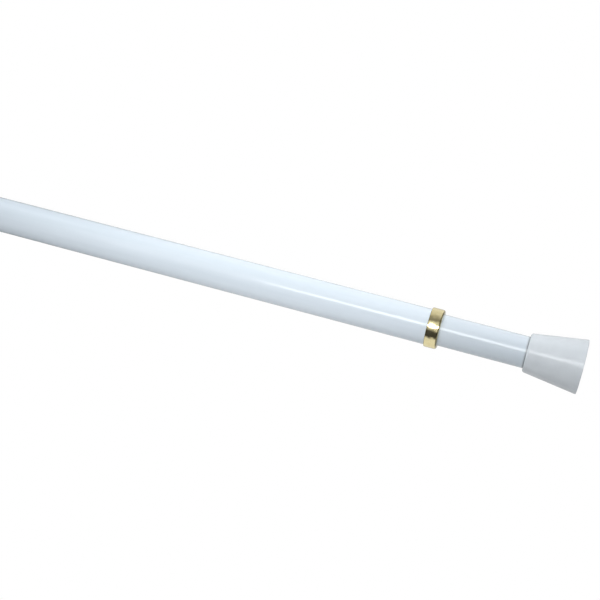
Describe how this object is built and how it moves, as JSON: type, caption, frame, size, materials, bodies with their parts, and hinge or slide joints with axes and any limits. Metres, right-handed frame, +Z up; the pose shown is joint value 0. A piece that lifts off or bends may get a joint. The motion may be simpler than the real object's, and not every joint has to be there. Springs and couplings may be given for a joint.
{
  "type": "spring tension rod",
  "caption": "Telescoping round rod that presses between two walls: painted tubes, brass trim ring, flared soft end caps, and a twist lock and coil spring inside.",
  "frame": {"origin": "centre of the wall face of the outer tube's end cap", "axes": "+X along the rod to the telescoping end, +Z up as the rod hangs between two walls"},
  "size_m": [0.6101, 0.038, 0.038],
  "materials": {
    "white_enamel": "gloss white enamel on thin steel tube",
    "ring_brass": "polished brass plate",
    "cap_vinyl": "satin off-white moulded soft vinyl",
    "bush_acetal": "natural moulded acetal",
    "lock_nylon": "black moulded nylon",
    "zinc_steel": "bright zinc plate",
    "spring_steel": "drawn spring wire, lightly oiled"
  },
  "bodies": {
    "outer": {"outer_tube": "white_enamel", "outer_end_cap": "cap_vinyl", "outer_tube_plug": "bush_acetal", "trim_ring": "ring_brass", "mouth_bush": "bush_acetal"},
    "lock_sleeve": {"expander_sleeve": "lock_nylon"},
    "lock_cone": {"expander_cone": "lock_nylon", "cone_nut": "zinc_steel"},
    "lock_stem": {"lock_stem": "zinc_steel", "stop_nut": "zinc_steel", "thrust_washer": "zinc_steel", "spring_follower": "bush_acetal", "tail_washer": "zinc_steel", "tail_nut": "zinc_steel"},
    "inner": {"inner_tube": "white_enamel", "inner_end_cap": "cap_vinyl", "inner_tube_plug": "bush_acetal", "guide_bush": "bush_acetal", "spring_stop": "bush_acetal", "compression_spring": "spring_steel"}
  },
  "joints": [
    {"name": "telescope", "type": "slide", "parent": "outer", "child": "lock_sleeve", "axis": [1, 0, 0], "range_m": [0, 0.305]},
    {"name": "lock_twist", "type": "hinge", "parent": "lock_sleeve", "child": "lock_stem", "pos_m": [0, 0, 0], "axis": [1, 0, 0], "range_deg": [0, 360]},
    {"name": "cone_draw", "type": "slide", "parent": "lock_sleeve", "child": "lock_cone", "axis": [1, 0, 0], "range_m": [-0.0013, 0]},
    {"name": "spring_plunge", "type": "slide", "parent": "lock_stem", "child": "inner", "axis": [-1, 0, 0], "range_m": [0, 0.025], "stiffness_N_per_m": 2770, "springref_m": -0.006, "deforming": ["compression_spring"]}
  ],
  "couplings": [
    {"joint": "cone_draw", "follows": "lock_twist", "m_per_rad": -0.00019894}
  ]
}
